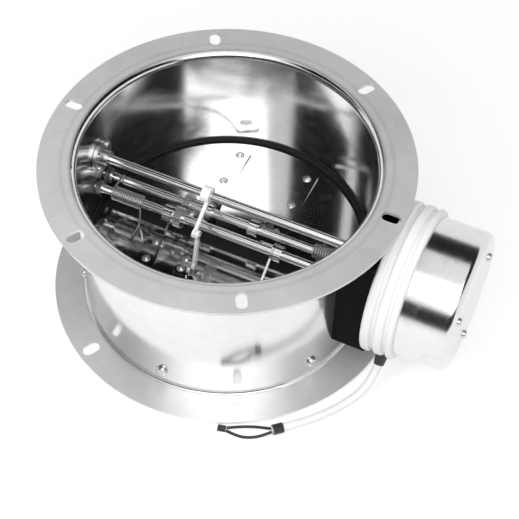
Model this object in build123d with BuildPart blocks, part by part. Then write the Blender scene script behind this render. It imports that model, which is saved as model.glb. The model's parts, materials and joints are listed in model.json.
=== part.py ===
"""Motorized duct damper for a 250 mm round duct.

A rolled, flanged steel casing holds two half-round blades that lie closed on a rubber seat.
Each blade hangs from its own axle by two folded brackets and swings up to open. An actuator
on the side turns a drive shaft; its crank lifts the near blade through a link of equal
attitude (a parallelogram), and a pair of equal gears makes the far blade mirror it.

Frame, in millimetres: Z is the duct axis, the origin is the middle of the lower flange's
face, +X runs along the drive shaft towards the actuator and -Y is the near side.
"""
import os
from math import acos, atan2, cos, pi, radians, sin, sqrt, tan

from build123d import *

# Casing
duct_bore = 250.0
casing_height = 160.0
sheet = 3.0
flange_od = 314.0
bend_radius = 6.0
slot_inset = 12.0
slot_width = 9.5
slot_length = 16.0
slot_count = 6

# Seat, seal and blades
seat_level = 0.275
seat_sheet = 3.0
seat_width = 13.0
seat_skirt = 30.0
cross_bar_lap = 6.0
seal_thickness = 4.0
seal_lip = 2.4
seal_lip_height = 4.0
blade_sheet = 2.0
blade_rim_gap = 5.0
blade_edge_gap = 1.0
blade_corner_trim = 3.5
seat_bolt_count = 6
seat_bolt_rise = 6.0

# Hinge axles and drive shaft
axle_diameter = 8.0
axle_rise = 29.0
gear_module = 1.0
blade_gear_teeth = 17
axle_overhang = 9.0
shaft_diameter = 8.0
shaft_rise = 33.0
axle_nut_height = 5.0
axle_nut_across = 13.0
collar_length = 7.0
collar_radius = 7.5
end_chamfer = 0.8

# Brackets, crank and link, placed along X
bracket_sheet = 2.0
bracket_leg_width = 17.0
near_ear_place = 47.5
far_ear_place = 25.5
near_leg_end = 58.0
far_leg_end = 108.0
leg_start = 14.0
leg_round = 4.0
ear_radius = 8.0
ear_foot = 30.0
ear_foot_height = 5.0
rivet_inset = 10.0
rivet_start = 14.0
gear_width = 7.0
gear_hub_radius = 6.5
near_hub_length = 2.0
crank_place = -15.0
crank_reach = 30.5
lug_rise = 4.7
lug_length = 14.0
lug_width = 22.0
crank_sheet = 3.0
crank_hub_radius = 7.5
crank_hub_length = 8.0
arm_width = 4.5
link_sheet = 3.0
link_pin_diameter = 4.0
eye_wall = 2.0
pin_head = 1.5

# Bearings and fasteners
bearing_flange_radius = 15.0
bearing_face_depth = 4.0
bearing_boss_radius = 7.0
bearing_boss_length = 7.0
bearing_spigot_radius = 6.5
bearing_bolt_spacing = 16.0
bearing_bolt_diameter = 3.0
small_bolt_diameter = 4.0
seat_bolt_diameter = 5.0
rivet_diameter = 4.0
head_share = 0.7
nut_across_share = 1.65
nut_height_share = 0.8
thread_end = 1.0

# Torsion springs
spring_wire = 2.2
spring_coil_gap = 0.4
spring_turns = 14
spring_place = 78.0
spring_leg_reach = 26.0

# Actuator
plate_tuck = 7.0
console_sheet = 3.0
console_width = 88.0
console_gap = 12.0
base_gap = 2.0
base_waist = 3.0
base_wall = 3.0
plate_thickness = 8.0
housing_length = 14.0
lid_thickness = 6.0
groove_width = 3.0
layer_round = 2.5
can_step = 5.0
can_length = 44.0
can_sheet = 1.5
can_round = 6.0
can_bolt_inset = 19.0
motor_inset = 13.0
motor_boss_radius = 11.0
motor_boss_length = 4.0
output_gear_teeth = 20
pinion_teeth = 14
pinion_shaft_diameter = 6.0
cam_thickness = 3.0
cam_radius = 10.0
cam_lobe_radius = 3.0
output_gear_width = 7.0
screw_inset_y = 14.0
screw_inset_z = 18.0

# Supply cable
gland_angle = 35.0
gland_radius = 6.0
gland_length = 12.0
cable_diameter = 7.0
wire_diameter = 2.5
wire_spread = 1.7
sleeve_wall = 1.0
sleeve_length = 9.0
tip_wall = 0.35
tip_length = 7.0
tip_spread = 1.45

# Clearances
seat_gap = 0.3
floor_gap = 0.2
running_fit = 0.05
pin_fit = 0.1
bolt_fit = 0.2
backlash = 0.3
end_gap = 1.0

# Derived sizes
wall_r = duct_bore / 2
tube_r = wall_r + sheet
flange_r = flange_od / 2
slot_circle_r = flange_r - slot_inset
seat_top = casing_height * seat_level
axle_height = seat_top + axle_rise
shaft_height = axle_height + shaft_rise
seat_outer_r = wall_r - seat_gap
seat_inner_r = wall_r - seat_width
skirt_inner_r = seat_outer_r - seat_sheet
skirt_foot = seat_top - seat_skirt
seat_bolt_height = skirt_foot + seat_bolt_rise
seal_top = seat_top + seal_thickness
blade_r = wall_r - blade_rim_gap
blade_z = seal_top + seat_gap
blade_top = blade_z + blade_sheet
blade_half_width = blade_r - blade_corner_trim
leg_top = blade_top + bracket_sheet
axle_r = axle_diameter / 2
axle_offset = gear_module * blade_gear_teeth / 2
blade_edge = axle_offset + blade_edge_gap
cross_bar_width = 2 * (blade_edge + cross_bar_lap)
axle_end = tube_r + axle_overhang
shaft_r = shaft_diameter / 2
pin_r = link_pin_diameter / 2
eye_r = pin_r + eye_wall
crank_drop = axle_height - blade_top - lug_rise
motor_height = shaft_height - gear_module * (output_gear_teeth + pinion_teeth) / 2
console_face = flange_r - plate_tuck
plate_face = console_face + plate_thickness
housing_face = plate_face + housing_length
lid_face = housing_face + lid_thickness
can_face = lid_face + can_length
flange_underside = casing_height - sheet
console_height = 2 * (flange_underside - console_gap - motor_height)
base_r = flange_underside - base_gap - motor_height
cavity_r = base_r - base_waist - base_wall
can_r = base_r - can_step
can_bolt_r = can_r - can_bolt_inset
motor_r = can_r - motor_inset
motor_length = can_length - can_round - 2 * end_gap


# Planes and shared shapes
def radial_plane(angle, height):
    """Plane that faces straight out from the duct axis."""
    out = Vector(cos(radians(angle)), sin(radians(angle)), 0)
    along = Vector(-sin(radians(angle)), cos(radians(angle)), 0)
    return Plane(origin=(0, 0, height), x_dir=along, z_dir=out)


def facing_x(x, y=0.0, z=0.0):
    """Plane across the shaft direction: its x is +Y and its y is +Z."""
    return Plane(origin=(x, y, z), x_dir=(0, 1, 0), z_dir=(1, 0, 0))


def facing_back(x, y=0.0, z=0.0):
    """The same plane, facing the other way."""
    return Plane(origin=(x, y, z), x_dir=(0, -1, 0), z_dir=(-1, 0, 0))


def write(piece, name):
    """Label a finished piece and write its file."""
    piece.label = name
    export_step(piece, f"parts/{name}.step")


def hex_nut(across, thickness, hole_r):
    """Hex nut that sits on its plane."""
    with BuildPart() as nut:
        with BuildSketch():
            RegularPolygon(across / 2, 6, major_radius=False)
            Circle(hole_r, mode=Mode.SUBTRACT)
        extrude(amount=thickness)
    return nut.part


def dome_bolt(diameter, length):
    """Domed head that sits on its plane, with a plain shank behind it."""
    head_height = diameter * head_share
    with BuildPart() as bolt:
        with BuildSketch():
            Circle(diameter)
        extrude(amount=head_height)
        fillet(bolt.faces().sort_by(Axis.Z)[-1].edges(), head_height * head_share)
        with BuildSketch():
            Circle(diameter / 2)
        extrude(amount=-length)
    return bolt.part


def rivet(grip):
    """Domed rivet: its plane is the upper sheet's face, and grip is what it holds."""
    radius = rivet_diameter / 2
    with BuildPart() as body:
        with BuildSketch(Plane.XZ):
            with BuildLine():
                Polyline((0, -grip - radius / 2), (radius * 1.6, -grip - radius / 2), (radius * 1.6, -grip),
                         (radius, -grip), (radius, 0), (radius * 2, 0))
                RadiusArc((radius * 2, 0), (0, radius), -radius * 2.5)
                Line((0, radius), (0, -grip - radius / 2))
            make_face()
        revolve(axis=Axis.Z)
    return body.part


def involute(angle):
    """Involute function of a pressure angle in radians."""
    return tan(angle) - angle


def gear_tooth(teeth):
    """One tooth on the +X axis, with involute flanks and backlash."""
    pitch_r = gear_module * teeth / 2
    base_circle = pitch_r * cos(radians(20))
    tip_r = pitch_r + gear_module
    foot_r = pitch_r - 1.25 * gear_module
    half_pitch = pi / (2 * teeth) - backlash / (2 * pitch_r)

    def flank(radius, side):
        pressure = acos(min(1, base_circle / radius))
        half = half_pitch + involute(radians(20)) - involute(pressure)
        return (radius * cos(half), side * radius * sin(half))

    low = max(base_circle, foot_r)
    inner = foot_r - gear_module / 4
    side_angle = atan2(flank(low, 1)[1], flank(low, 1)[0])
    foot = (inner * cos(side_angle), inner * sin(side_angle))
    with BuildSketch(mode=Mode.PRIVATE) as tooth:
        with BuildLine():
            Line((foot[0], -foot[1]), flank(low, -1))
            ThreePointArc(flank(low, -1), flank((low + tip_r) / 2, -1), flank(tip_r, -1))
            ThreePointArc(flank(tip_r, -1), (tip_r, 0), flank(tip_r, 1))
            ThreePointArc(flank(tip_r, 1), flank((low + tip_r) / 2, 1), flank(low, 1))
            Line(flank(low, 1), foot)
            Line(foot, (foot[0], -foot[1]))
        make_face()
    return tooth.sketch


def spur_gear(teeth, width, start_angle, bore_r, hub_r, hub_length):
    """Spur gear on its plane with a plain hub on the far side and one tooth at start_angle."""
    with BuildPart() as gear:
        with BuildSketch():
            Circle(gear_module * (teeth / 2 - 1.25))
            with PolarLocations(0, teeth, start_angle=start_angle):
                add(gear_tooth(teeth))
        extrude(amount=width)
        if hub_length > 0:
            with BuildSketch(Plane.XY.offset(width)):
                Circle(hub_r)
            extrude(amount=hub_length)
        if bore_r > 0:
            with BuildSketch():
                Circle(bore_r)
            extrude(amount=width + hub_length, mode=Mode.SUBTRACT)
    return gear.part


os.makedirs("parts", exist_ok=True)

# Casing: one rolled sheet, turned out into a slotted flange at both ends
seat_bolt_angles = [-90 + 360 / seat_bolt_count * k for k in range(seat_bolt_count)]
with BuildPart() as casing:
    with BuildSketch(Plane.XZ):
        with BuildLine():
            bore_side = FilletPolyline((flange_r, casing_height), (wall_r, casing_height), (wall_r, 0),
                                       (flange_r, 0), radius=bend_radius)
            back_side = FilletPolyline((flange_r, casing_height - sheet), (tube_r, casing_height - sheet),
                                       (tube_r, sheet), (flange_r, sheet), radius=bend_radius - sheet)
            Line(bore_side @ 0, back_side @ 0)
            Line(bore_side @ 1, back_side @ 1)
        make_face()
    revolve(axis=Axis.Z)
    with BuildSketch():
        with PolarLocations(slot_circle_r, slot_count):
            SlotOverall(slot_length, slot_width)
    extrude(amount=casing_height, mode=Mode.SUBTRACT)
    with BuildSketch(Plane.YZ):
        with Locations((0, shaft_height)):
            Circle(bearing_spigot_radius + bolt_fit)
            with GridLocations(bearing_bolt_spacing, bearing_bolt_spacing, 2, 2):
                Circle(bearing_bolt_diameter / 2 + bolt_fit)
        with Locations((-axle_offset, axle_height), (axle_offset, axle_height)):
            Circle(axle_r + running_fit)
    extrude(amount=flange_r, both=True, mode=Mode.SUBTRACT)
    with BuildSketch(*[radial_plane(angle, seat_bolt_height) for angle in seat_bolt_angles]):
        Circle(seat_bolt_diameter / 2 + bolt_fit)
    extrude(amount=flange_r, mode=Mode.SUBTRACT)
write(casing.part, "casing")

# Seat: an angle ring
with BuildPart() as seat_ring:
    with BuildSketch(Plane.XZ):
        with BuildLine():
            Polyline((seat_inner_r, seat_top), (seat_outer_r, seat_top), (seat_outer_r, skirt_foot),
                     (skirt_inner_r, skirt_foot), (skirt_inner_r, seat_top - seat_sheet),
                     (seat_inner_r, seat_top - seat_sheet), close=True)
        make_face()
    revolve(axis=Axis.Z)
    with BuildSketch(*[radial_plane(angle, seat_bolt_height) for angle in seat_bolt_angles]):
        Circle(seat_bolt_diameter / 2 + bolt_fit)
    extrude(amount=flange_r, mode=Mode.SUBTRACT)
write(seat_ring.part, "seat_ring")

with BuildPart() as seat_seal:
    with BuildSketch(Plane.XZ):
        with BuildLine():
            lip_top = seal_top + seal_lip_height
            lip_inner_r = seat_outer_r - seal_lip
            Polyline((seat_inner_r, seat_top), (seat_outer_r, seat_top), (seat_outer_r, lip_top),
                     (lip_inner_r, lip_top), (lip_inner_r, seal_top), (seat_inner_r, seal_top), close=True)
        make_face()
    revolve(axis=Axis.Z)
write(seat_seal.part, "seat_seal")

# Cross bar under the blades' straight edges, and the seal on it
for name, thickness in (("seat_bar", -seat_sheet), ("bar_seal", seal_thickness)):
    with BuildPart() as bar:
        with BuildSketch(Plane.XY.offset(seat_top)):
            Rectangle(2 * seat_inner_r, cross_bar_width)
            Circle(seat_inner_r - seat_gap, mode=Mode.INTERSECT)
        extrude(amount=thickness)
    write(bar.part, name)

seat_nut_height = seat_bolt_diameter * nut_height_share
seat_bolt_reach = tube_r - skirt_inner_r + seat_nut_height + thread_end
with BuildPart() as seat_bolts:
    with Locations(*[radial_plane(angle, seat_bolt_height).offset(tube_r + seat_gap)
                     for angle in seat_bolt_angles]):
        add(dome_bolt(seat_bolt_diameter, seat_bolt_reach))
write(seat_bolts.part, "seat_bolts")

with BuildPart() as seat_nuts:
    nut_seat = skirt_inner_r - seat_gap - seat_nut_height
    with Locations(*[radial_plane(angle, seat_bolt_height).offset(nut_seat) for angle in seat_bolt_angles]):
        add(hex_nut(seat_bolt_diameter * nut_across_share, seat_nut_height, seat_bolt_diameter / 2 + pin_fit))
write(seat_nuts.part, "seat_nuts")

# Hinge axles, clamped to the wall by nuts on both sides
for name, side in (("near_axle", -1), ("far_axle", 1)):
    with BuildPart() as axle:
        with BuildSketch(facing_x(-axle_end, side * axle_offset, axle_height)):
            Circle(axle_r)
        extrude(amount=2 * axle_end)
        chamfer(axle.edges().filter_by(GeomType.CIRCLE), end_chamfer)
    write(axle.part, name)

nut_corner = axle_nut_across / sqrt(3)
inner_nut_x = sqrt(wall_r**2 - (axle_offset + nut_corner) ** 2) - seat_gap - axle_nut_height
outer_nut_x = tube_r + seat_gap
for name, x in (("axle_inner_nuts", inner_nut_x), ("axle_outer_nuts", outer_nut_x)):
    with BuildPart() as nuts:
        for y in (-axle_offset, axle_offset):
            with Locations(facing_x(x, y, axle_height), facing_back(-x, y, axle_height)):
                add(hex_nut(axle_nut_across, axle_nut_height, axle_r + running_fit))
    write(nuts.part, name)

near_collar_x = near_ear_place + bracket_sheet + seat_gap
far_collar_x = far_ear_place - seat_gap - collar_length
with BuildPart() as axle_collars:
    with BuildSketch():
        Circle(collar_radius)
        Circle(axle_r + running_fit, mode=Mode.SUBTRACT)
    collar = extrude(amount=collar_length, mode=Mode.PRIVATE)
    with Locations(facing_x(near_collar_x, -axle_offset, axle_height),
                   facing_back(-near_collar_x, -axle_offset, axle_height),
                   facing_x(far_collar_x, axle_offset, axle_height),
                   facing_back(-far_collar_x, axle_offset, axle_height)):
        add(collar)
write(axle_collars.part, "axle_collars")


# Blades
def blade(side):
    """Half disc on the near (-1) or far (+1) side, with its corners trimmed."""
    with BuildPart() as half:
        with BuildSketch(Plane.XY.offset(blade_z)):
            Circle(blade_r)
            with Locations((0, side * (blade_edge + blade_r))):
                Rectangle(2 * blade_half_width, 2 * blade_r, mode=Mode.INTERSECT)
        extrude(amount=blade_sheet)
        with BuildSketch(Plane.XY.offset(blade_z)):
            with Locations(*rivet_places[side]):
                Circle(rivet_diameter / 2 + pin_fit)
        extrude(amount=blade_sheet, mode=Mode.SUBTRACT)
    return half.part


near_leg_x = near_ear_place + bracket_leg_width / 2
far_leg_x = far_ear_place + bracket_leg_width / 2
lug_x = crank_place
lug_y = -(axle_offset + crank_reach)
lug_rivet_x = lug_x - (lug_length + crank_sheet) / 2
lug_rivet_places = [(lug_rivet_x, lug_y - lug_width / 4), (lug_rivet_x, lug_y + lug_width / 4)]
first_rivet = leg_start + rivet_start
near_last = near_leg_end - rivet_inset
far_last = far_leg_end - rivet_inset
near_rows = (first_rivet, near_last)
far_rows = (first_rivet, (first_rivet + far_last) / 2, far_last)
near_rivet_places = [(side * near_leg_x, -y) for side in (-1, 1) for y in near_rows]
far_rivet_places = [(side * far_leg_x, y) for side in (-1, 1) for y in far_rows]
rivet_places = {-1: near_rivet_places + lug_rivet_places, 1: far_rivet_places}
write(blade(-1), "near_blade")
write(blade(1), "far_blade")


def hinge_bracket(side, hand, ear_place, leg_end, holes):
    """Folded bracket: a leg on the blade and an upright ear with the axle's eye.

    side is the blade's side (-1 near, +1 far) and hand the bracket's place along X.
    """
    leg_x = hand * (ear_place + bracket_leg_width / 2)
    with BuildPart() as bracket:
        with BuildSketch(Plane.XY.offset(blade_top)):
            with Locations((leg_x, side * (leg_start + leg_end) / 2)):
                RectangleRounded(bracket_leg_width, leg_end - leg_start, leg_round)
        extrude(amount=bracket_sheet)
        with BuildSketch(facing_x(hand * ear_place, 0, 0) if hand > 0 else facing_back(-ear_place, 0, 0)):
            flip = side * hand
            eye = (flip * axle_offset, axle_height)
            with BuildSketch(mode=Mode.PRIVATE) as ear:
                with Locations(eye):
                    Circle(ear_radius)
                with BuildLine():
                    Polyline((flip * (axle_offset - ear_radius), axle_height), (flip * leg_start, blade_top),
                             (flip * (leg_start + ear_foot), blade_top),
                             (flip * (leg_start + ear_foot), blade_top + ear_foot_height),
                             (flip * (axle_offset + ear_radius), axle_height), close=True)
                make_face()
            add(ear.sketch)
            with Locations(eye):
                Circle(axle_r + running_fit, mode=Mode.SUBTRACT)
        extrude(amount=bracket_sheet)
        with BuildSketch(Plane.XY.offset(blade_top)):
            with Locations(*holes):
                Circle(rivet_diameter / 2 + pin_fit)
        extrude(amount=bracket_sheet, mode=Mode.SUBTRACT)
    return bracket.part


for name, side, hand, ear, end, holes in (
        ("near_left_bracket", -1, -1, near_ear_place, near_leg_end, near_rivet_places[:2]),
        ("near_right_bracket", -1, 1, near_ear_place, near_leg_end, near_rivet_places[2:]),
        ("far_left_bracket", 1, -1, far_ear_place, far_leg_end, far_rivet_places[:3]),
        ("far_right_bracket", 1, 1, far_ear_place, far_leg_end, far_rivet_places[3:])):
    write(hinge_bracket(side, hand, ear, end, holes), name)

for name, places in (("near_rivets", near_rivet_places), ("far_rivets", far_rivet_places),
                     ("lug_rivets", lug_rivet_places)):
    with BuildPart() as rivets:
        with Locations(*[(x, y, leg_top) for x, y in places]):
            add(rivet(blade_sheet + bracket_sheet))
    write(rivets.part, name)

# Equal gears between the two blades, beside the left brackets' ears
near_gear_x = -near_ear_place + near_hub_length + gear_width
far_gear_x = near_gear_x - gear_width
far_hub_length = -far_ear_place - bracket_sheet - near_gear_x
half_tooth = 180 / blade_gear_teeth
with BuildPart() as near_gear:
    with Locations(facing_back(near_gear_x, -axle_offset, axle_height)):
        add(spur_gear(blade_gear_teeth, gear_width, 180, axle_r + running_fit, gear_hub_radius,
                      near_hub_length))
write(near_gear.part, "near_gear")
with BuildPart() as far_gear:
    with Locations(facing_x(far_gear_x, axle_offset, axle_height)):
        add(spur_gear(blade_gear_teeth, gear_width, 180 + half_tooth, axle_r + running_fit, gear_hub_radius,
                      far_hub_length))
write(far_gear.part, "far_gear")

# Lift lug on the near blade, its pin in the link's lower eye
lug_height = axle_height - crank_drop
pin_reach = crank_sheet + link_sheet + 2 * seat_gap
with BuildPart() as lift_lug:
    with BuildSketch(Plane.XY.offset(blade_top)):
        with Locations((lug_x - lug_length / 2, lug_y)):
            RectangleRounded(lug_length, lug_width, leg_round / 2)
    extrude(amount=bracket_sheet)
    with BuildSketch(facing_back(lug_x, 0, 0)):
        with Locations((-lug_y, lug_height)):
            Circle(eye_r)
        with BuildLine():
            Polyline((-lug_y - lug_width / 2, blade_top), (-lug_y + lug_width / 2, blade_top),
                     (-lug_y + eye_r, lug_height), (-lug_y - eye_r, lug_height), close=True)
        make_face()
    extrude(amount=crank_sheet)
    with BuildSketch(facing_x(lug_x, lug_y, lug_height)):
        Circle(pin_r)
    extrude(amount=link_sheet + 2 * seat_gap)
    with BuildSketch(facing_x(lug_x + link_sheet + 2 * seat_gap, lug_y, lug_height)):
        Circle(pin_r + eye_wall / 2)
    extrude(amount=pin_head)
    with BuildSketch(Plane.XY.offset(blade_top)):
        with Locations(*lug_rivet_places):
            Circle(rivet_diameter / 2 + pin_fit)
    extrude(amount=bracket_sheet, mode=Mode.SUBTRACT)
write(lift_lug.part, "lift_lug")

# Drive shaft with its crank, output gear and switch cam
shaft_left = -tube_r - end_gap
cam_x = plate_face + end_gap
output_gear_x = cam_x + cam_thickness + end_gap / 2
shaft_right = output_gear_x + output_gear_width + end_gap
crank_y = -crank_reach
crank_z = shaft_height - crank_drop
with BuildPart() as drive_shaft:
    with BuildSketch(facing_x(shaft_left, 0, shaft_height)):
        Circle(shaft_r)
    extrude(amount=shaft_right - shaft_left)
    chamfer(drive_shaft.edges().filter_by(GeomType.CIRCLE), end_chamfer)
write(drive_shaft.part, "drive_shaft")

with BuildPart() as crank_lever:
    with BuildSketch(facing_back(crank_place, 0, 0)):
        with Locations((0, shaft_height), (-crank_y, crank_z)):
            Circle(arm_width / 2)
        make_hull()
        with Locations((0, shaft_height)):
            Circle(crank_hub_radius)
        with Locations((-crank_y, crank_z)):
            Circle(eye_r)
    extrude(amount=crank_sheet)
    with BuildSketch(facing_back(crank_place, 0, shaft_height)):
        Circle(crank_hub_radius)
    extrude(amount=crank_hub_length)
    with BuildSketch(facing_back(crank_place, 0, 0)):
        with Locations((0, shaft_height)):
            Circle(shaft_r + running_fit)
        with Locations((-crank_y, crank_z)):
            Circle(pin_r + running_fit)
    extrude(amount=crank_hub_length, mode=Mode.SUBTRACT)
write(crank_lever.part, "crank_lever")

with BuildPart() as crank_pin:
    with BuildSketch(facing_x(crank_place - crank_sheet, crank_y, crank_z)):
        Circle(pin_r)
    extrude(amount=pin_reach)
    with BuildSketch(facing_x(crank_place - crank_sheet + pin_reach, crank_y, crank_z)):
        Circle(pin_r + eye_wall / 2)
    extrude(amount=pin_head)
write(crank_pin.part, "crank_pin")

with BuildPart() as lift_link:
    with BuildSketch(facing_x(crank_place + seat_gap, 0, 0)):
        with Locations((crank_y, crank_z), (lug_y, lug_height)):
            Circle(arm_width / 2)
        make_hull()
        with Locations((crank_y, crank_z), (lug_y, lug_height)):
            Circle(eye_r)
            Circle(pin_r + pin_fit, mode=Mode.SUBTRACT)
    extrude(amount=link_sheet)
write(lift_link.part, "lift_link")

with BuildPart() as output_gear:
    with Locations(facing_x(output_gear_x, 0, shaft_height)):
        add(spur_gear(output_gear_teeth, output_gear_width, -90, shaft_r + running_fit, shaft_r, 0))
write(output_gear.part, "output_gear")

with BuildPart() as limit_cam:
    with BuildSketch(facing_x(cam_x, 0, shaft_height)):
        Circle(cam_radius)
        with Locations((0, cam_radius)):
            Circle(cam_lobe_radius)
        make_hull()
        Circle(shaft_r + running_fit, mode=Mode.SUBTRACT)
    extrude(amount=cam_thickness)
write(limit_cam.part, "limit_cam")


# Shaft bearings: a flange that follows the duct wall, with a boss inside and a spigot through it
def bearing(hand, spigot_end, open_end):
    """Flanged bearing on the left (-1) or right (+1) wall."""
    face = wall_r - bearing_face_depth
    plane = facing_x if hand > 0 else facing_back
    with BuildPart() as body:
        with BuildSketch(plane(hand * face, 0, shaft_height)):
            Circle(bearing_flange_radius)
        extrude(amount=bearing_face_depth)
        with BuildSketch(Plane.XY):
            Circle(wall_r - seat_gap)
        extrude(amount=casing_height, mode=Mode.INTERSECT)
        with BuildSketch(plane(hand * (face - bearing_boss_length), 0, shaft_height)):
            Circle(bearing_boss_radius)
        extrude(amount=bearing_boss_length)
        with BuildSketch(plane(hand * face, 0, shaft_height)):
            Circle(bearing_spigot_radius)
        extrude(amount=spigot_end - face)
        with BuildSketch(plane(hand * (face - bearing_boss_length), 0, shaft_height)):
            Circle(shaft_r + running_fit)
        extrude(amount=bearing_boss_length + open_end - face, mode=Mode.SUBTRACT)
        with BuildSketch(plane(hand * face, 0, shaft_height)):
            with GridLocations(bearing_bolt_spacing, bearing_bolt_spacing, 2, 2):
                Circle(bearing_bolt_diameter / 2 + bolt_fit)
        extrude(amount=bearing_face_depth, mode=Mode.SUBTRACT)
    return body.part


spigot_end = tube_r + 4 * end_gap
write(bearing(-1, spigot_end, -shaft_left + end_gap / 2), "left_bearing")
write(bearing(1, spigot_end, spigot_end), "right_bearing")

bearing_face = wall_r - bearing_face_depth
bearing_nut_height = bearing_bolt_diameter * nut_height_share
bearing_nut_x = tube_r + seat_gap
bearing_bolt_reach = bearing_nut_x + bearing_nut_height + thread_end - bearing_face
bolt_corners = [(y, shaft_height + z) for y in (-bearing_bolt_spacing / 2, bearing_bolt_spacing / 2)
                for z in (-bearing_bolt_spacing / 2, bearing_bolt_spacing / 2)]
with BuildPart() as bearing_bolts:
    with Locations(*[facing_back(bearing_face, y, z) for y, z in bolt_corners],
                   *[facing_x(-bearing_face, y, z) for y, z in bolt_corners]):
        add(dome_bolt(bearing_bolt_diameter, bearing_bolt_reach))
write(bearing_bolts.part, "bearing_bolts")
with BuildPart() as bearing_nuts:
    with Locations(*[facing_x(bearing_nut_x, y, z) for y, z in bolt_corners],
                   *[facing_back(-bearing_nut_x, y, z) for y, z in bolt_corners]):
        add(hex_nut(bearing_bolt_diameter * nut_across_share, bearing_nut_height,
                    bearing_bolt_diameter / 2 + running_fit))
write(bearing_nuts.part, "bearing_nuts")


# Torsion springs: a close-wound coil on the axle, one leg on the blade and one over the other axle
def torsion_spring(side):
    """Spring on the near (-1) axle at the left wall or the far (+1) axle at the right wall."""
    coil_r = axle_r + spring_coil_gap
    start = side * spring_place
    plane = facing_x if side > 0 else facing_back
    leg_r = spring_wire / 2
    leg_height = coil_r + leg_r
    leg_y = side * (axle_offset + spring_leg_reach)
    rest_z = blade_top + leg_r + seat_gap
    with BuildPart() as spring:
        with BuildSketch(Plane(origin=(start, side * axle_offset, axle_height), x_dir=(side, 0, 0),
                               z_dir=(0, -side, 0))):
            with BuildLine():
                valley = [(k * spring_wire, coil_r + spring_wire * 0.45) for k in range(spring_turns + 1)]
                crest = [((k + 0.5) * spring_wire, coil_r + spring_wire) for k in range(spring_turns)]
                wave = [point for pair in zip(valley, crest) for point in pair] + [valley[-1]]
                Polyline((0, coil_r), *wave, (spring_turns * spring_wire, coil_r), close=True)
            make_face()
        revolve(axis=Axis((0, side * axle_offset, axle_height), (1, 0, 0)))
        blade_leg_x = start + side * leg_r
        hook_leg_x = start + side * (spring_turns * spring_wire - leg_r)
        with BuildLine():
            FilletPolyline((blade_leg_x, side * (axle_offset + leg_height), axle_height),
                           (blade_leg_x, side * (axle_offset + leg_height + 4.0), rest_z),
                           (blade_leg_x, leg_y, rest_z), radius=3.0)
        with BuildSketch(Plane(origin=(blade_leg_x, side * (axle_offset + leg_height), axle_height),
                               z_dir=(0, side * 4.0, rest_z - axle_height))):
            Circle(leg_r)
        sweep()
        with BuildSketch(plane(hook_leg_x - side * leg_r, 0, 0)):
            with Locations((0, axle_height + leg_height)):
                SlotCenterToCenter(2 * axle_offset, spring_wire)
        extrude(amount=spring_wire)
    return spring.part


write(torsion_spring(-1), "near_spring")
write(torsion_spring(1), "far_spring")

# Console: a folded channel welded to the casing, its web carrying the actuator
console_z = motor_height
screw_spacing_y = console_width - 2 * screw_inset_y
screw_spacing_z = console_height - 2 * screw_inset_z
with BuildPart() as actuator_bracket:
    with BuildSketch(Plane.XY.offset(console_z - console_height / 2)):
        with BuildLine():
            half = console_width / 2
            Polyline((wall_r / 2, half), (console_face, half), (console_face, -half), (wall_r / 2, -half),
                     (wall_r / 2, console_sheet - half), (console_face - console_sheet, console_sheet - half),
                     (console_face - console_sheet, half - console_sheet), (wall_r / 2, half - console_sheet),
                     close=True)
        make_face()
        Circle(tube_r + pin_fit, mode=Mode.SUBTRACT)
    extrude(amount=console_height)
    with BuildSketch(facing_x(console_face - console_sheet, 0, 0)):
        with Locations((0, shaft_height)):
            Circle(shaft_r + console_sheet)
        with Locations((0, console_z)):
            with GridLocations(screw_spacing_y, screw_spacing_z, 2, 2):
                Circle(small_bolt_diameter / 2 + bolt_fit)
    extrude(amount=console_sheet, mode=Mode.SUBTRACT)
write(actuator_bracket.part, "actuator_bracket")

screw_reach = console_sheet + plate_thickness - base_wall
with BuildPart() as bracket_screws:
    with Locations(*[facing_back(console_face - console_sheet, y, console_z + z)
                     for y in (-screw_spacing_y / 2, screw_spacing_y / 2)
                     for z in (-screw_spacing_z / 2, screw_spacing_z / 2)]):
        add(dome_bolt(small_bolt_diameter, screw_reach))
write(bracket_screws.part, "bracket_screws")

# Actuator base: three stacked, rounded layers with grooves between them
with BuildPart() as gearbox_plate:
    with BuildSketch(facing_x(console_face, 0, motor_height)):
        Circle(base_r)
    extrude(amount=plate_thickness)
    fillet(gearbox_plate.edges().filter_by(GeomType.CIRCLE), layer_round)
    with BuildSketch(facing_x(console_face, 0, shaft_height)):
        Circle(shaft_r + running_fit)
    extrude(amount=plate_thickness, mode=Mode.SUBTRACT)
    with BuildSketch(facing_x(console_face, 0, console_z)):
        with GridLocations(screw_spacing_y, screw_spacing_z, 2, 2):
            Circle(small_bolt_diameter / 2 + running_fit)
    extrude(amount=screw_reach, mode=Mode.SUBTRACT)
write(gearbox_plate.part, "gearbox_plate")

gland_dir = Vector(0, -sin(radians(gland_angle)), -cos(radians(gland_angle)))
gland_x = plate_face + groove_width + (housing_length - 2 * groove_width) / 2
gland_seat = Vector(gland_x, 0, motor_height) + gland_dir * (cavity_r - 1)
gland_plane = Plane(origin=gland_seat, x_dir=(1, 0, 0), z_dir=gland_dir)
gland_neck_r = cable_diameter / 2 + 1.0
with BuildPart() as gearbox_housing:
    with BuildSketch(facing_x(plate_face, 0, motor_height)):
        Circle(base_r - base_waist)
    extrude(amount=housing_length)
    with BuildSketch(facing_x(plate_face + groove_width, 0, motor_height)):
        Circle(base_r)
    extrude(amount=housing_length - 2 * groove_width)
    rim = gearbox_housing.edges().filter_by(GeomType.CIRCLE).group_by(SortBy.RADIUS)[-1]
    fillet(rim, layer_round)
    with BuildSketch(facing_x(plate_face, 0, motor_height)):
        Circle(cavity_r)
    extrude(amount=housing_length, mode=Mode.SUBTRACT)
    with BuildSketch(gland_plane):
        Circle(gland_neck_r + pin_fit)
    extrude(amount=base_r, mode=Mode.SUBTRACT)
write(gearbox_housing.part, "gearbox_housing")

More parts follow.
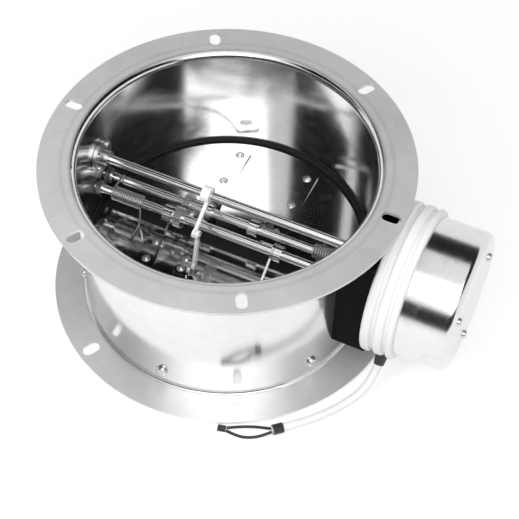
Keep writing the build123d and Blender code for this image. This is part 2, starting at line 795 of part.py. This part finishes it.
with BuildPart() as gearbox_lid:
    with BuildSketch(facing_x(housing_face, 0, motor_height)):
        Circle(base_r)
    extrude(amount=lid_thickness)
    fillet(gearbox_lid.edges().filter_by(GeomType.CIRCLE), layer_round)
    with BuildSketch(facing_x(housing_face, 0, motor_height)):
        Circle(motor_boss_radius + pin_fit)
        with PolarLocations(can_bolt_r, 3, start_angle=-90):
            Circle(small_bolt_diameter / 2 + running_fit)
    extrude(amount=lid_thickness, mode=Mode.SUBTRACT)
write(gearbox_lid.part, "gearbox_lid")

# Motor and its can
with BuildPart() as motor_can:
    with BuildSketch(facing_x(lid_face, 0, motor_height)):
        Circle(can_r)
    extrude(amount=can_length)
    end_edge = motor_can.faces().sort_by(Axis.X)[-1].edges()
    fillet(end_edge, can_round)
    with BuildSketch(facing_x(lid_face, 0, motor_height)):
        Circle(can_r - can_sheet)
    extrude(amount=can_length - can_round, mode=Mode.SUBTRACT)
    with BuildSketch(facing_x(can_face, 0, motor_height)):
        with PolarLocations(can_bolt_r, 3, start_angle=-90):
            Circle(small_bolt_diameter / 2 + running_fit)
    extrude(amount=-can_length, mode=Mode.SUBTRACT)
write(motor_can.part, "motor_can")

can_bolt_reach = can_length + lid_thickness
with BuildPart() as can_bolts:
    with Locations(facing_x(can_face, 0, motor_height)):
        with PolarLocations(can_bolt_r, 3, start_angle=-90):
            add(dome_bolt(small_bolt_diameter, can_bolt_reach))
write(can_bolts.part, "can_bolts")

pinion_x = output_gear_x
pinion_shaft_end = lid_face + motor_length / 2
with BuildPart() as motor_body:
    with BuildSketch(facing_x(lid_face, 0, motor_height)):
        Circle(motor_r)
        with PolarLocations(can_bolt_r, 3, start_angle=-90):
            Circle(small_bolt_diameter / 2 + 1.0, mode=Mode.SUBTRACT)
    extrude(amount=motor_length)
    with BuildSketch(facing_back(lid_face, 0, motor_height)):
        Circle(motor_boss_radius)
    extrude(amount=motor_boss_length)
    with BuildSketch(facing_x(lid_face - motor_boss_length, 0, motor_height)):
        Circle(pinion_shaft_diameter / 2 + running_fit)
    extrude(amount=pinion_shaft_end + seat_gap - lid_face + motor_boss_length, mode=Mode.SUBTRACT)
write(motor_body.part, "motor_body")

with BuildPart() as motor_pinion:
    with Locations(facing_x(pinion_x, 0, motor_height)):
        add(spur_gear(pinion_teeth, output_gear_width, 90 + 180 / pinion_teeth, 0,
                      pinion_shaft_diameter / 2, 0))
    with BuildSketch(facing_x(pinion_x, 0, motor_height)):
        Circle(pinion_shaft_diameter / 2)
    extrude(amount=pinion_shaft_end - pinion_x)
write(motor_pinion.part, "motor_pinion")

# Limit switches beside the cam and the terminal block by the cable entry, all on the plate
switch_size = (6.0, 20.0, 10.0)
switch_place = cam_radius + 3 * cam_lobe_radius
with BuildPart() as limit_switches:
    switch_y = switch_place + switch_size[1] / 2
    switch_x = plate_face + switch_size[0] / 2
    with Locations((switch_x, -switch_y, shaft_height), (switch_x, switch_y, shaft_height)):
        Box(*switch_size)
        fillet(limit_switches.edges().filter_by(Axis.X), 1.0)
write(limit_switches.part, "limit_switches")

terminal_size = (10.0, 32.0, 12.0)
with BuildPart() as terminal_block:
    with Locations((plate_face + terminal_size[0] / 2, 0, motor_height - cavity_r / 2)):
        Box(*terminal_size)
    with BuildSketch(facing_x(plate_face + terminal_size[0], 0, motor_height - cavity_r / 2)):
        with GridLocations(10.0, 0, 3, 1):
            Circle(2.5)
    extrude(amount=-5.0, mode=Mode.SUBTRACT)
write(terminal_block.part, "terminal_block")

# Cable gland on the underside, and the supply cable with its two stripped cores
gland_face = base_r - (cavity_r - 1) + seat_gap
with BuildPart() as cable_gland:
    with BuildSketch(gland_plane):
        Circle(gland_neck_r)
    extrude(amount=gland_face)
    with BuildSketch(gland_plane.offset(gland_face)):
        Circle(gland_radius)
    with BuildSketch(gland_plane.offset(gland_face + gland_length)):
        Circle(gland_neck_r)
    loft()
    with BuildSketch(gland_plane):
        Circle(cable_diameter / 2 + running_fit)
    extrude(amount=gland_face + gland_length, mode=Mode.SUBTRACT)
write(cable_gland.part, "cable_gland")


def cord(points, diameter):
    """Round tube along straight runs joined by the largest arcs that the runs allow."""
    route = [Vector(*point) for point in points]
    runs = [b - a for a, b in zip(route, route[1:])]
    radii = []
    for a, b in zip(runs, runs[1:]):
        turn = radians(a.get_angle(b))
        radii.append(0.45 * min(a.length, b.length) / tan(turn / 2))
    with BuildPart() as tube:
        with BuildLine() as path:
            FilletPolyline(*route, radius=radii)
        with BuildSketch(Plane(origin=route[0], z_dir=runs[0])):
            Circle(diameter / 2)
        sweep()
    length = sum(edge.length for edge in path.line.edges())
    share = tube.part.volume / (pi * diameter**2 / 4 * length)
    print("cord length", round(length, 1), "radii", [round(radius) for radius in radii],
          "volume share", round(share, 4))
    return tube.part


cable_low = cable_diameter / 2 + floor_gap
wire_low = wire_diameter / 2 + floor_gap
gland_mouth = gland_seat + gland_dir * (gland_face + gland_length / 3)
cable_bend = gland_seat + gland_dir * (gland_face + gland_length * 1.5)
cable_end = (106.0, -132.5, cable_low + sleeve_wall)
cable_route = [tuple(gland_mouth), tuple(cable_bend), (160.0, -66.0, 7.5), (150.0, -82.5, cable_low),
               (138.0, -100.0, cable_low), (123.0, -116.5, cable_low), cable_end]
write(cord(cable_route, cable_diameter), "cable")

# Shrink sleeve on the cable's end, where the two cores come out
core_dir = (Vector(*cable_end) - Vector(*cable_route[-2])).normalized()
with BuildPart() as cable_sleeve:
    with BuildSketch(Plane(origin=cable_end, z_dir=-core_dir)):
        Circle(cable_diameter / 2 + sleeve_wall)
        Circle(cable_diameter / 2 + running_fit, mode=Mode.SUBTRACT)
    extrude(amount=sleeve_length)
write(cable_sleeve.part, "cable_sleeve")

# The cores bow apart and meet again in one twin sleeve at their tips
core_start = Vector(*cable_end) + core_dir * wire_diameter / 2
core_side = Vector(core_dir.Y, -core_dir.X, 0) * wire_spread
tip_dir = Vector(-0.97, -0.24, 0).normalized()
tip_side = Vector(tip_dir.Y, -tip_dir.X, 0) * tip_spread
tip_middle = Vector(69.85, -147.0, wire_low)
wire_fall = wire_low + wire_diameter / 2
upper_wire_route = [core_start + core_side, (96.0, -133.2, wire_fall), (86.6, -136.0, wire_low),
                    (77.5, -140.6, wire_low), tip_middle + tip_side]
lower_wire_route = [core_start - core_side, (99.5, -141.0, wire_fall), (91.0, -146.0, wire_low),
                    (81.5, -149.2, wire_low), tip_middle - tip_side]
write(cord(upper_wire_route, wire_diameter), "upper_wire")
write(cord(lower_wire_route, wire_diameter), "lower_wire")

tip_start = tip_middle + tip_dir * wire_diameter / 4 + Vector(0, 0, tip_wall)
with BuildPart() as core_sleeve:
    with BuildSketch(Plane(origin=tip_start, x_dir=tip_side, z_dir=tip_dir)):
        SlotOverall(2 * (tip_spread + tip_wall) + wire_diameter, wire_diameter + 2 * tip_wall)
    extrude(amount=tip_length)
    fillet(core_sleeve.faces().sort_by(Axis.X)[0].edges(), wire_diameter / 4)
write(core_sleeve.part, "core_sleeve")
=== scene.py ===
# %% [markdown]
# # A motorized duct damper
# The damper is a short steel duct with a flange at each end. Two half-round blades lie on a
# rubber seat inside it, and a small geared motor on the side lifts them through a crank.
# The solids come ready made from CAD. This lesson lights them, finishes them, and adds the
# pieces that solids can't show well: the wound wire of the springs and the free cable.

# %% Load the fixed frame
import json
from math import cos, pi, radians, sin

import bpy
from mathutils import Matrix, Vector


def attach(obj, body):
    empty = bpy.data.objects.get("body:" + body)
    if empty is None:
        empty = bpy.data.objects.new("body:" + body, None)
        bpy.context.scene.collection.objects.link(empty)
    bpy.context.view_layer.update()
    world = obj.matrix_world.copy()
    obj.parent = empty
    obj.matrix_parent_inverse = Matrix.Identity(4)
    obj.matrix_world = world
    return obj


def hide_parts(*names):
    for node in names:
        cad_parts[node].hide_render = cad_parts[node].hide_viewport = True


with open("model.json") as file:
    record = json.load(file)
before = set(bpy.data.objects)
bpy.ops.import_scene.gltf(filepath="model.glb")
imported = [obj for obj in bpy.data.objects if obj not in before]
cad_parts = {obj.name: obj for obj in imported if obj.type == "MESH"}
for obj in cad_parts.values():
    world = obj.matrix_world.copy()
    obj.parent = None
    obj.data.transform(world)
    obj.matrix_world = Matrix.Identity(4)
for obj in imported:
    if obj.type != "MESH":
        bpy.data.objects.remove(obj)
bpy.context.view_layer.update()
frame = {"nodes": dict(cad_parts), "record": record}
nodes = frame["nodes"]
scene = bpy.context.scene

# %% [markdown]
# ## The camera
# The product picture looks down into the duct from the front right. A long lens keeps the two
# flanges nearly parallel. Fitting the ellipses of both flanges gave the angles and the distance,
# so the camera aims at the middle of the lower flange and a small shift frames the picture.

# %% Camera at the picture's angle
azimuth, elevation, distance = radians(25.7), radians(52.6), 1.256
eye = Vector((sin(azimuth) * cos(elevation), -cos(azimuth) * cos(elevation), sin(elevation))) * distance
camera = bpy.data.objects.new("camera", bpy.data.cameras.new("camera"))
camera.location = eye
camera.rotation_euler = (-eye).to_track_quat("-Z", "Y").to_euler()
camera.data.lens = 95.0
camera.data.sensor_width = 36.0
camera.data.shift_x = 0.062
camera.data.shift_y = 0.034
scene.collection.objects.link(camera)
scene.camera = camera
print("camera at", [round(v, 3) for v in eye])

# %% [markdown]
# ## Sums on sockets
# A finish is a small network of nodes. Wiring it by hand is long, so this class wraps a socket
# and lets Python's own operators add the Math nodes. Any other node comes from `add`, which
# takes the node's type, its settings and its sockets.


# %% A socket that can be used in sums
class Lead:
    """A socket in a node tree, or just the tree when there is no socket yet."""

    def __init__(self, tree, socket=None):
        self.tree = tree
        self.socket = socket

    def add(self, kind, settings=None, sockets=None, out=0):
        """Adds a node, sets it up, feeds its sockets with values or leads, and gives one output."""
        node = self.tree.nodes.new("ShaderNode" + kind)
        for name, value in (settings or {}).items():
            if name == "stops":
                ramp = node.color_ramp
                while len(ramp.elements) < len(value):
                    ramp.elements.new(0.5)
                for element, (place, grey) in zip(ramp.elements, value):
                    element.position = place
                    element.color = (grey, grey, grey, 1)
            else:
                setattr(node, name, value)
        for name, value in (sockets or {}).items():
            if isinstance(value, Lead):
                self.tree.links.new(value.socket, node.inputs[name])
            else:
                node.inputs[name].default_value = value
        return Lead(self.tree, node.outputs[out])

    def sum(self, operation, first, second=0.0):
        return self.add("Math", {"operation": operation}, {0: first, 1: second})

    def __add__(self, other):
        return self.sum("ADD", self, other)

    def __radd__(self, other):
        return self.sum("ADD", other, self)

    def __sub__(self, other):
        return self.sum("SUBTRACT", self, other)

    def __rsub__(self, other):
        return self.sum("SUBTRACT", other, self)

    def __mul__(self, other):
        return self.sum("MULTIPLY", self, other)

    def __rmul__(self, other):
        return self.sum("MULTIPLY", other, self)

    def ramp(self, *stops):
        """Maps this value through grey stops, each a place and a level."""
        return self.add("ValToRGB", {"stops": stops}, {"Fac": self})

    def rise(self, low, high):
        """0 below the low value, 1 above the high one and even between them."""
        settings = {"operation": "MULTIPLY", "use_clamp": True}
        return self.add("Math", settings, {0: self - low, 1: 1 / (high - low)})

    def noise(self, scale, detail=3.0, roughness=0.5):
        """Smooth noise over this place, from 0 to 1."""
        sockets = {"Vector": self, "Scale": scale, "Detail": detail, "Roughness": roughness}
        return self.add("TexNoise", {}, sockets)

    def stretched(self, x, y, z):
        """This place with each direction scaled, for streaks."""
        return self.add("VectorMath", {"operation": "MULTIPLY"}, {0: self, 1: (x, y, z)})

    def part(self, letter):
        """One coordinate of this place."""
        return self.add("SeparateXYZ", {}, {0: self}, letter)

    def feed(self, shader, name):
        """Links this lead into a shader's socket."""
        self.tree.links.new(self.socket, shader.inputs[name])


print("sums ready")

# %% [markdown]
# ## The white surround
# The picture is a cut-out on white. A strong white world would give that, but it would also
# wash the paint out. So the world asks each ray what it is for: the rays that show it to the
# eye, straight or by way of metal, see white, and the light that falls on the object is calmer.

# %% World that is white to the eye and calmer as light
white = (1, 1, 1, 1)
world_light = 0.45
world = bpy.data.worlds.new("studio")
world.use_nodes = True
scene.world = world
scene.view_settings.view_transform = "Standard"
sky = world.node_tree.nodes["Background"]


def seen_rays(tree):
    """1 for the rays that show a surface to the eye: straight, mirrored or through glass."""
    ray = Lead(tree)
    rays = (ray.add("LightPath", {}, {}, "Is Camera Ray") + ray.add("LightPath", {}, {}, "Is Glossy Ray")
            + ray.add("LightPath", {}, {}, "Is Transmission Ray"))
    return rays.sum("MINIMUM", rays, 1.0)


level = seen_rays(world.node_tree) * (1 - world_light) + world_light
level.feed(sky, "Strength")
sky.inputs["Color"].default_value = white
print("world light:", world_light)

# %% [markdown]
# ## The floor
# The damper stands on a sheet of paper, which keeps its shadow. Pale paper alone comes out grey
# where the lamps don't reach, so it also glows for the rays that show it to the eye, and more
# the farther it is from the object. From low down it then runs into the white behind it without
# an edge.


# %% Floor of glowing paper
def plate(name, corners, material):
    """A flat four-cornered stage plate."""
    mesh = bpy.data.meshes.new(name)
    mesh.from_pydata(corners, [], [(0, 1, 2, 3)])
    mesh.materials.append(material)
    thing = bpy.data.objects.new(name, mesh)
    scene.collection.objects.link(thing)
    return thing


def paper(name, grey):
    """A plain matt stage material."""
    material = bpy.data.materials.new(name)
    material.use_nodes = True
    shader = material.node_tree.nodes["Principled BSDF"]
    shader.inputs["Base Color"].default_value = (grey, grey, grey, 1)
    shader.inputs["Roughness"].default_value = 1.0
    shader.inputs["Specular IOR Level"].default_value = 0.0
    return material


floor_half, floor_level = 4, -0.0005
near_glow, far_glow = 0.48, 0.24
near_square, far_square = 0.4, 4.0
floor_paper = paper("floor_paper", 0.65)
plate("floor", [(-floor_half, -floor_half, floor_level), (floor_half, -floor_half, floor_level),
                (floor_half, floor_half, floor_level), (-floor_half, floor_half, floor_level)], floor_paper)
floor_shader = floor_paper.node_tree.nodes["Principled BSDF"]
floor_shader.inputs["Emission Strength"].default_value = 1.0
spot = Lead(floor_paper.node_tree).add("TexCoord", {}, {}, "Object")
spot_x, spot_y = spot.part("X"), spot.part("Y")
far_off = (spot_x * spot_x + spot_y * spot_y).rise(near_square, far_square)
floor_seen = seen_rays(floor_paper.node_tree) * (far_off * far_glow + near_glow)
floor_seen.feed(floor_shader, "Emission Color")
print("floor:", 2 * floor_half, "m wide")

# %% [markdown]
# ## Flags for the metal
# Bright metal shows its surroundings, and the sheet in the picture swings between white and
# black. A darker finish would only turn it grey, so it is done as in a studio, with black flags
# round the object. Upright walls and flat blades all mirror the sky at the camera's own height,
# so a band of flags at that height, open behind the camera where the big lamp is, puts the
# blacks where the picture has them. A small flag over the duct darkens what reaches the left
# wall by way of the wall across from it, and a grey card on the floor gives the tube a darker
# left edge. Only mirror reflections see these cards: the camera, the shadows and the soft light
# pass them by.

# %% Black flags and a grey card
black_card = paper("black_card", 0.01)
grey_card = paper("grey_card", 0.22)


def flag(name, corners, card_paper=black_card):
    """A dark card that only mirror reflections see."""
    card = plate(name, corners, card_paper)
    card.visible_camera = False
    card.visible_diffuse = False
    card.visible_shadow = False
    card.visible_transmission = False


def sky_point(turn, rise, reach=2.2):
    """A point of the surround, by its turn from +X and its rise from the floor, in degrees."""
    turn, rise = radians(turn), radians(rise)
    return (reach * cos(rise) * cos(turn), reach * cos(rise) * sin(turn), reach * sin(rise))


def sky_flags(name, first, last, low, high, step=15):
    """Black cards side by side round part of the sky."""
    for turn in range(first, last, step):
        flag(f"{name}_{turn - first}", [sky_point(turn, low), sky_point(turn + step, low),
                                        sky_point(turn + step, high), sky_point(turn, high)])


sky_flags("flag_back", -30, 165, 34, 70)
sky_flags("flag_left", 180, 240, 34, 70)
sky_flags("flag_front", -165, -30, 1, 28)
over_duct, on_floor = 0.3, 0.001
flag("flag_hover", [(0.09, -0.10, over_duct), (0.15, -0.10, over_duct),
                    (0.15, 0.04, over_duct), (0.09, 0.04, over_duct)])
flag("flag_floor_left", [(-0.9, -0.5, on_floor), (-0.19, -0.16, on_floor),
                         (-0.19, 0.4, on_floor), (-0.9, 0.7, on_floor)], grey_card)

# %% [markdown]
# ## The lamps
# One big soft lamp behind the camera shows in the metal. The others only light the paint, the
# plastic and the dull flanges, so they are hidden from reflections. The small one stands close to
# the front, because light that is near falls off across the object, as it does in the picture.

# %% Lamps, each with its place, size, watts and whether metal mirrors it
lamps = {
    "key": ((0.50, -0.98, 1.40), 1.4, 9.5, True),
    "fill": ((1.1, -0.5, 1.0), 1.0, 4.5, False),
    "front": ((-0.20, -0.50, 0.58), 0.35, 2.3, False),
    "top": ((0.0, 0.1, 1.6), 1.0, 1.5, False),
}
for name, (place, size, power, mirrored) in lamps.items():
    lamp = bpy.data.lights.new(name, "AREA")
    lamp.size = size
    lamp.energy = power
    stand = bpy.data.objects.new(name, lamp)
    stand.location = place
    stand.rotation_euler = (-Vector(place)).to_track_quat("-Z", "Y").to_euler()
    stand.visible_glossy = mirrored
    scene.collection.objects.link(stand)
print("lamps:", len(lamps))

# %% [markdown]
# ## Starting a finish
# Every finish is one principled shader. What is the same all over the surface is set on the
# shader itself. What changes over the surface is wired in: tone, roughness and a bump.
# Places are read in the object's own metres, so a grain of 2 mm is 2 mm on every piece.


# %% One finish from its tone, roughness and bump
def finish(name, metallic=0.0, coat=0.0):
    """A new material, with its shader and the place on the object."""
    material = bpy.data.materials.new(name)
    material.use_nodes = True
    shader = material.node_tree.nodes["Principled BSDF"]
    shader.inputs["Metallic"].default_value = metallic
    shader.inputs["Coat Weight"].default_value = coat
    shader.inputs["Coat Roughness"].default_value = 0.12
    return material, shader, Lead(material.node_tree).add("TexCoord", {}, {}, "Object")


def dress(material, shader, tone, rough, height, depth):
    """Wires a grey tone, a roughness and a bump of some depth into the shader."""
    tone.add("CombineColor", {}, {"Red": tone, "Green": tone, "Blue": tone}).feed(shader, "Base Color")
    rough.feed(shader, "Roughness")
    height.add("Bump", {}, {"Strength": 1.0, "Distance": depth, "Height": height}).feed(shader, "Normal")
    print("finish", material.name)
    return material


finishes = {}

# %% [markdown]
# ## Galvanised sheet
# The casing is rolled from zinc-coated sheet. Zinc freezes in flat crystals, so the sheet has a
# faint patchwork of tones, called spangle, and each patch is a little duller or brighter. Fine
# streaks run round the duct where the rolls dragged. The flanges have less shine than the wall,
# the upper one least, because hands and gaskets have rubbed the shine off, and a gasket has left
# a darker ring on the upper one. On top of that the lower flange is painted lighter and the upper
# one darker, as painted light and shade for the light that falls on each. A picture of zinc would
# have to be unwrapped onto the sheet, so cells of a Voronoi texture make the patchwork, and the
# distance from the duct's axis tells the flanges from the wall.


# %% Casing and seat
ring_reach, ring_half = 0.1375, 0.0025
bend_start, bend_end = 0.1283, 0.1295
brim_start, brim_end = 0.1285, 0.1320
upper_start, upper_end = 0.08, 0.10


def zinc_sheet(name, tone_level, rough_level, dulled):
    """Spangled zinc, dulled by some share outside the duct's wall."""
    material, shader, place = finish(name, metallic=1.0)
    cells = place.add("TexVoronoi", {"feature": "F1"}, {"Vector": place, "Scale": 110.0}, "Color")
    spangle = cells.part("X")
    cloud = place.noise(14.0, 4.0)
    streak = place.stretched(9.0, 9.0, 900.0).noise(1.0, 2.0)
    speck = place.noise(900.0, 2.0).ramp((0.60, 0.0), (0.72, 1.0))
    x, y = place.part("X"), place.part("Y")
    square = x * x + y * y
    reach = square.sum("SQRT", square)
    off_ring = reach - ring_reach
    ring = 1 - off_ring.sum("ABSOLUTE", off_ring).rise(0.0, ring_half)
    high = place.part("Z").rise(upper_start, upper_end)
    brim = reach.rise(brim_start, brim_end)
    bend = reach.rise(bend_start, bend_end)
    if dulled:
        (1 - brim * dulled * (high * 0.4 + 0.6)).feed(shader, "Metallic")
    # Painted light and shade: the brim term raises the lower flange's tone by 0.14 and lowers the upper
    # flange's by 0.06, for the light that reaches each flange.
    tone = (tone_level + brim * (0.14 - high * 0.20) + (spangle - 0.5) * 0.03
            + (cloud - 0.5) * (brim * 0.10 + 0.10) - ring * high * 0.08 - speck * 0.05)
    rough = rough_level + bend * 0.22 + (spangle - 0.5) * 0.03 + (streak - 0.5) * 0.06 + speck * 0.06
    return dress(material, shader, tone, rough, streak * 0.5 + cloud, 0.00004)


finishes["casing_steel"] = zinc_sheet("galvanised_sheet", 0.74, 0.15, 0.62)
finishes["seat_steel"] = zinc_sheet("galvanised_seat", 0.55, 0.30, 0.0)

# %% [markdown]
# ## Bright rolled and drawn steel
# Blades are cut from bright sheet, rods are drawn through a die and the motor can is spun. All
# are smooth metal with lines in one direction. A shader can stretch its highlights instead, but
# that needs a direction on every face, so one function lays lines along x or round that axis by
# stretching noise, which fits any shape.


# %% Blades, rods, can, gears and small steel pieces
def lined_steel(name, tone_level, rough_level, stretch, line_depth, blotch=0.06):
    """Bright metal with lines along the direction that is stretched least."""
    material, shader, place = finish(name, metallic=1.0)
    lines = place.stretched(*stretch).noise(1.0, 3.0, 0.6)
    cloud = place.noise(22.0, 4.0)
    smear = place.noise(60.0, 5.0, 0.65).ramp((0.55, 0.0), (0.78, 1.0))
    tone = tone_level + (lines - 0.5) * 0.10 + (cloud - 0.5) * blotch - smear * 0.06
    rough = rough_level + (lines - 0.5) * 0.10 + smear * 0.12 + (cloud - 0.5) * 0.06
    return dress(material, shader, tone, rough, lines + cloud * 0.8, line_depth)


finishes["blade_steel"] = lined_steel("bright_sheet", 0.72, 0.10, (14.0, 700.0, 700.0), 0.00001)
finishes["rod_steel"] = lined_steel("drawn_rod", 0.82, 0.16, (30.0, 1100.0, 1100.0), 0.00001)
finishes["spring_steel"] = lined_steel("spring_wire", 0.55, 0.32, (300.0, 300.0, 300.0), 0.00003)
finishes["bearing_steel"] = lined_steel("turned_bearing", 0.60, 0.30, (1200.0, 40.0, 40.0), 0.00003)
finishes["gear_steel"] = lined_steel("cut_gear", 0.62, 0.28, (60.0, 900.0, 900.0), 0.00002)
finishes["can_steel"] = lined_steel("spun_can", 0.74, 0.19, (1300.0, 26.0, 26.0), 0.00001)
finishes["motor_iron"] = lined_steel("stacked_plates", 0.35, 0.50, (1900.0, 8.0, 8.0), 0.0001)
finishes["fastener_zinc"] = lined_steel("plated_bolt", 0.70, 0.30, (260.0, 260.0, 260.0), 0.00004, 0.12)


# %% [markdown]
# ## Paint, plastic and rubber
# The crank and link are white enamel, the console black paint, and the gearbox white moulded
# plastic. The console's black is taken down to nearly no light at all, so it is partly paint and
# partly painted shade of the gap between the tube and the gearbox. Paint is thin and slightly
# wavy, like orange skin, and moulded plastic has a fine spark-eroded grain. Both get a little dust
# in the tone, since one flat colour never looks real.


# %% Coated and moulded pieces
def coated(name, tone_level, rough_level, grain, depth, coat=0.0, dust=0.05, shine=0.5):
    """Paint, plastic or rubber: dust and scuffs pale on dark pieces and dark on pale ones."""
    material, shader, place = finish(name, coat=coat)
    shader.inputs["Specular IOR Level"].default_value = shine
    skin = place.noise(grain, 3.0)
    cloud = place.noise(18.0, 4.0)
    scuff = place.noise(130.0, 5.0, 0.7).ramp((0.60, 0.0), (0.75, 1.0))
    tone = tone_level + (cloud - 0.5) * dust - scuff * dust * 0.5 * (1 if tone_level > 0.3 else -1)
    rough = rough_level + (skin - 0.5) * 0.10 + scuff * 0.12
    return dress(material, shader, tone, rough, skin, depth)


finishes["white_paint"] = coated("white_enamel", 0.90, 0.24, 260.0, 0.00008, coat=0.3)
# The console: black paint made darker than paint gets, so it is also painted shade of the gap between the
# tube and the gearbox.
finishes["black_paint"] = coated("black_enamel_and_shade", 0.004, 0.40, 320.0, 0.00008, dust=0.003, shine=0.03)
finishes["white_plastic"] = coated("white_moulding", 0.88, 0.34, 1500.0, 0.00004)
finishes["black_plastic"] = coated("black_moulding", 0.03, 0.45, 1500.0, 0.00005, dust=0.02)
finishes["seal_rubber"] = coated("seal_rubber", 0.016, 0.62, 700.0, 0.00012, dust=0.014, shine=0.3)
finishes["cable_sheath"] = coated("cable_sheath", 0.88, 0.42, 500.0, 0.00006)
finishes["wire_sheath"] = coated("wire_sheath", 0.02, 0.38, 600.0, 0.00005, dust=0.012)

# %% [markdown]
# ## Laying the finishes on
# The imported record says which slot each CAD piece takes, so each piece gets that slot's finish.

# %% Every CAD piece gets its finish
for subpart in frame["record"]["subparts"]:
    mesh = nodes[subpart["node"]].data
    mesh.materials.clear()
    mesh.materials.append(finishes[subpart["material_slot"]])


# %% [markdown]
# ## Springs of wound wire
# Each axle carries a torsion spring. The solid is only a ridged sleeve, so the wire is wound
# here: a coil with one end hooked over the other axle, which stays with the casing, and a leg
# that rests on the blade and turns with it. The coil is round the hinge line, so the leg's root
# stays on the coil's last turn at every angle.


# %% Wind the springs
def wire(name, points, radius, kind="POLY"):
    """A round wire along points, in metres."""
    curve = bpy.data.curves.new(name, "CURVE")
    curve.dimensions = "3D"
    curve.bevel_depth = radius
    curve.bevel_resolution = 4
    curve.use_fill_caps = True
    spline = curve.splines.new(kind)
    spline.points.add(len(points) - 1)
    for point, place in zip(spline.points, points):
        point.co = (*place, 1.0)
    if kind == "NURBS":
        spline.order_u = 3
        spline.use_endpoint_u = True
    thing = bpy.data.objects.new(name, curve)
    scene.collection.objects.link(thing)
    return thing


axle_y, axle_z, wire_r, coil_r = 0.0085, 0.073, 0.00108, 0.0055
first, last, turns, steps = 0.0791, 0.1077, 13.25, 28
leg_drop, blade_rest = axle_z - 0.008, 0.0517
leg_path = ((0.0, axle_z), (0.0, leg_drop), (0.003, blade_rest), (0.010, blade_rest), (0.0205, blade_rest))
for side, node, blade_body in ((-1, "near_spring", "near_blade_body"), (1, "far_spring", "far_blade_body")):
    coil = []
    for k in range(int(turns * steps) + 1):
        turn = 2 * pi * k / steps
        along = first + (last - first) * k / (turns * steps)
        coil.append((side * along, side * (axle_y + coil_r * cos(turn)), axle_z + coil_r * sin(turn)))
    hook = [(side * last, side * axle_y * share, axle_z + coil_r) for share in (0.5, 0.0, -0.5, -1.1)]
    wound = wire(node + "_coil", coil + hook, wire_r)
    leg_root = side * (axle_y + coil_r)
    leg_points = [(side * first, leg_root + side * out, height) for out, height in leg_path]
    leg = wire(node + "_leg", leg_points, wire_r, "NURBS")
    for piece, body in ((wound, "casing_body"), (leg, blade_body)):
        piece.data.materials.append(finishes["spring_steel"])
        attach(piece, body)
        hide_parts(node)
    print(node, "has", round(turns, 2), "turns")

# %% [markdown]
# ## The supply cable
# A white round cable leaves the gland under the gearbox, drops to the floor and runs forward
# along the flange. It ends in a black shrink sleeve, from which two black cores bow apart and
# meet again in a twin end sleeve. A soft line through the route's points, not bent runs, is
# what a cable does under its own weight.

# %% Lay the cable and its cores
cable_route = [(0.165, -0.040322, 0.031413), (0.165, -0.048352, 0.019945), (0.160, -0.066, 0.0075),
               (0.150, -0.0825, 0.0037), (0.138, -0.100, 0.0037), (0.123, -0.1165, 0.0037),
               (0.106, -0.1325, 0.0047)]
upper_route = [(0.10393, -0.13212, 0.00475), (0.096, -0.1332, 0.0027), (0.0866, -0.136, 0.00145),
               (0.0775, -0.1406, 0.00145), (0.0695, -0.14559, 0.00145)]
lower_route = [(0.10625, -0.13459, 0.00475), (0.0995, -0.141, 0.0027), (0.091, -0.146, 0.00145),
               (0.0815, -0.1492, 0.00145), (0.0702, -0.14841, 0.00145)]
cable_end, core_end = [nodes["cable_sleeve"]], [nodes["core_sleeve"]]
cords = (
    ("cable_run", "cable", cable_route, 0.122, 0.007, "cable_sheath", "fitting", cable_end),
    ("upper_core", "upper_wire", upper_route, 0.038, 0.0025, "wire_sheath", "fitting", core_end),
    ("lower_core", "lower_wire", lower_route, 0.041, 0.0025, "wire_sheath", "fitting", core_end),
)
for name, node, route, length, diameter, slot, far_end, pieces in cords:
    run = wire(name, route, diameter / 2, "NURBS")
    run.data.splines[0].resolution_u = 24
    run.data.materials.append(finishes[slot])
    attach(run, "casing_body")
    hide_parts(node)
print("cords:", len(cords))
